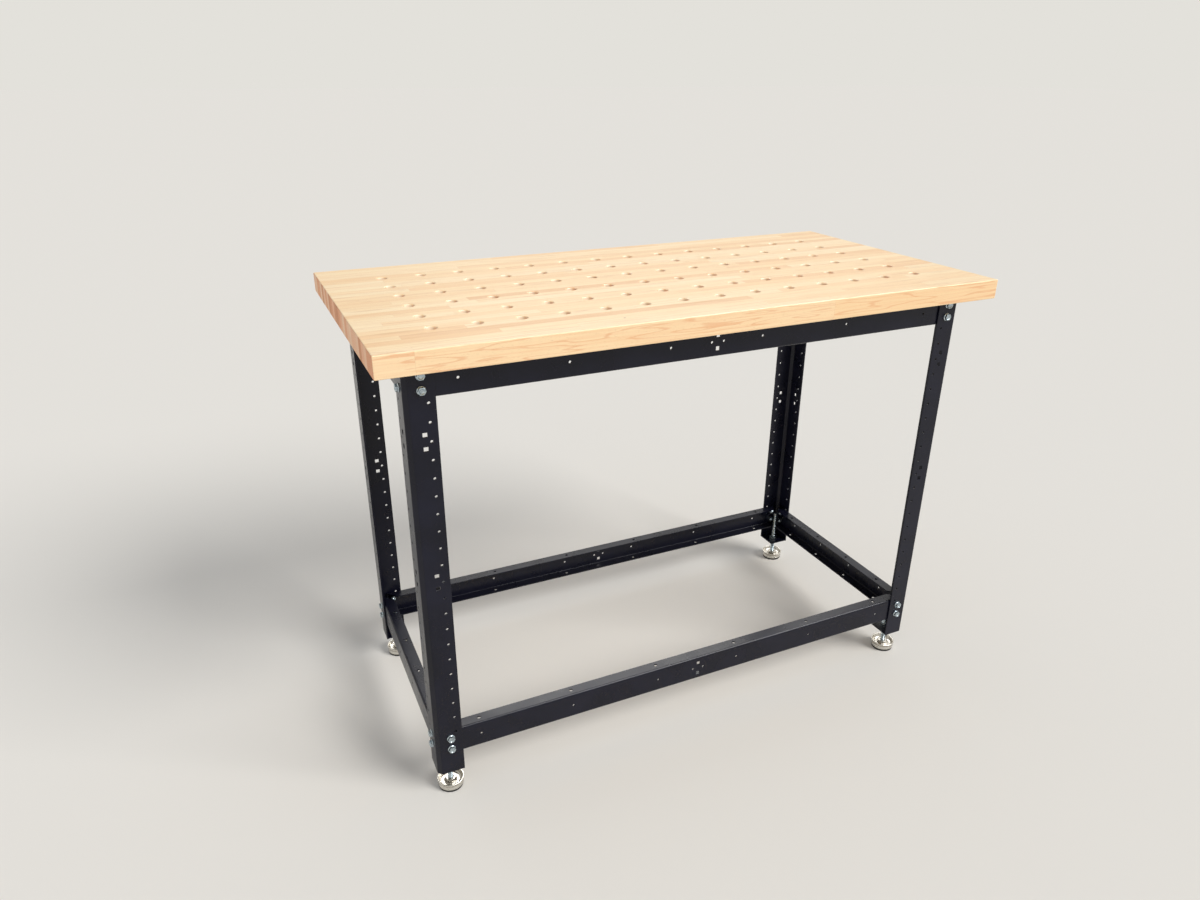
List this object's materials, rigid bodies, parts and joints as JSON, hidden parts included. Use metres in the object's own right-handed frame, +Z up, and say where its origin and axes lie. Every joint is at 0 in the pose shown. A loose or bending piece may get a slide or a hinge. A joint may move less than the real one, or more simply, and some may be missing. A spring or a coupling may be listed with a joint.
{
  "type": "assembly table",
  "caption": "Assembly table: thick maple block top with a grid of dog holes on a bolted frame of black folded-steel legs and channel rails, standing on threaded levelling feet.",
  "frame": {"origin": "on the floor under the middle of the top", "axes": "+X along the long edge, +Y across the table away from the front edge, +Z up"},
  "size_m": [1.22, 0.6, 0.9],
  "materials": {
    "maple": "edge-glued maple staves under a satin clear lacquer",
    "black_steel": "fine-textured black powder coat, semi-gloss",
    "zinc": "bright zinc plating, slightly blue",
    "nickel": "bright nickel plating"
  },
  "bodies": {
    "table": {"worktop": "maple", "leg_front_left": "black_steel", "leg_front_right": "black_steel", "leg_back_right": "black_steel", "leg_back_left": "black_steel", "top_rail_front": "black_steel", "top_rail_right": "black_steel", "top_rail_back": "black_steel", "top_rail_left": "black_steel", "lower_rail_front": "black_steel", "lower_rail_right": "black_steel", "lower_rail_back": "black_steel", "lower_rail_left": "black_steel", "bolt_front_left_top_long_1": "zinc", "bolt_front_left_top_short_1": "zinc", "bolt_front_left_top_long_2": "zinc", "bolt_front_left_top_short_2": "zinc", "bolt_front_left_lower_long_1": "zinc", "bolt_front_left_lower_short_1": "zinc", "bolt_front_left_lower_long_2": "zinc", "bolt_front_left_lower_short_2": "zinc", "bolt_front_right_top_long_1": "zinc", "bolt_front_right_top_short_1": "zinc", "bolt_front_right_top_long_2": "zinc", "bolt_front_right_top_short_2": "zinc", "bolt_front_right_lower_long_1": "zinc", "bolt_front_right_lower_short_1": "zinc", "bolt_front_right_lower_long_2": "zinc", "bolt_front_right_lower_short_2": "zinc", "bolt_back_right_top_long_1": "zinc", "bolt_back_right_top_short_1": "zinc", "bolt_back_right_top_long_2": "zinc", "bolt_back_right_top_short_2": "zinc", "bolt_back_right_lower_long_1": "zinc", "bolt_back_right_lower_short_1": "zinc", "bolt_back_right_lower_long_2": "zinc", "bolt_back_right_lower_short_2": "zinc", "bolt_back_left_top_long_1": "zinc", "bolt_back_left_top_short_1": "zinc", "bolt_back_left_top_long_2": "zinc", "bolt_back_left_top_short_2": "zinc", "bolt_back_left_lower_long_1": "zinc", "bolt_back_left_lower_short_1": "zinc", "bolt_back_left_lower_long_2": "zinc", "bolt_back_left_lower_short_2": "zinc", "top_screw_front_left": "zinc", "top_screw_front_right": "zinc", "top_screw_back_right": "zinc", "top_screw_back_left": "zinc"},
    "foot_front_left": {"foot_pad_front_left": "nickel"},
    "stud_front_left": {"foot_stud_front_left": "zinc"},
    "foot_front_right": {"foot_pad_front_right": "nickel"},
    "stud_front_right": {"foot_stud_front_right": "zinc"},
    "foot_back_right": {"foot_pad_back_right": "nickel"},
    "stud_back_right": {"foot_stud_back_right": "zinc"},
    "foot_back_left": {"foot_pad_back_left": "nickel"},
    "stud_back_left": {"foot_stud_back_left": "zinc"}
  },
  "joints": [
    {"name": "level_front_left", "type": "slide", "parent": "table", "child": "foot_front_left", "axis": [0, 0, -1], "range_m": [-0.032, 0.06]},
    {"name": "turn_front_left", "type": "hinge", "parent": "foot_front_left", "child": "stud_front_left", "pos_m": [-0.5345, -0.23, 0], "axis": [0, 0, -1], "range_deg": [-7681, 14401]},
    {"name": "level_front_right", "type": "slide", "parent": "table", "child": "foot_front_right", "axis": [0, 0, -1], "range_m": [-0.032, 0.06]},
    {"name": "turn_front_right", "type": "hinge", "parent": "foot_front_right", "child": "stud_front_right", "pos_m": [0.5345, -0.23, 0], "axis": [0, 0, -1], "range_deg": [-7681, 14401]},
    {"name": "level_back_right", "type": "slide", "parent": "table", "child": "foot_back_right", "axis": [0, 0, -1], "range_m": [-0.032, 0.06]},
    {"name": "turn_back_right", "type": "hinge", "parent": "foot_back_right", "child": "stud_back_right", "pos_m": [0.5345, 0.23, 0], "axis": [0, 0, -1], "range_deg": [-7681, 14401]},
    {"name": "level_back_left", "type": "slide", "parent": "table", "child": "foot_back_left", "axis": [0, 0, -1], "range_m": [-0.032, 0.06]},
    {"name": "turn_back_left", "type": "hinge", "parent": "foot_back_left", "child": "stud_back_left", "pos_m": [-0.5345, 0.23, 0], "axis": [0, 0, -1], "range_deg": [-7681, 14401]}
  ],
  "couplings": [
    {"joint": "turn_front_left", "follows": "level_front_left", "rad_per_m": 4188.8},
    {"joint": "turn_front_right", "follows": "level_front_right", "rad_per_m": 4188.8},
    {"joint": "turn_back_right", "follows": "level_back_right", "rad_per_m": 4188.8},
    {"joint": "turn_back_left", "follows": "level_back_left", "rad_per_m": 4188.8}
  ]
}
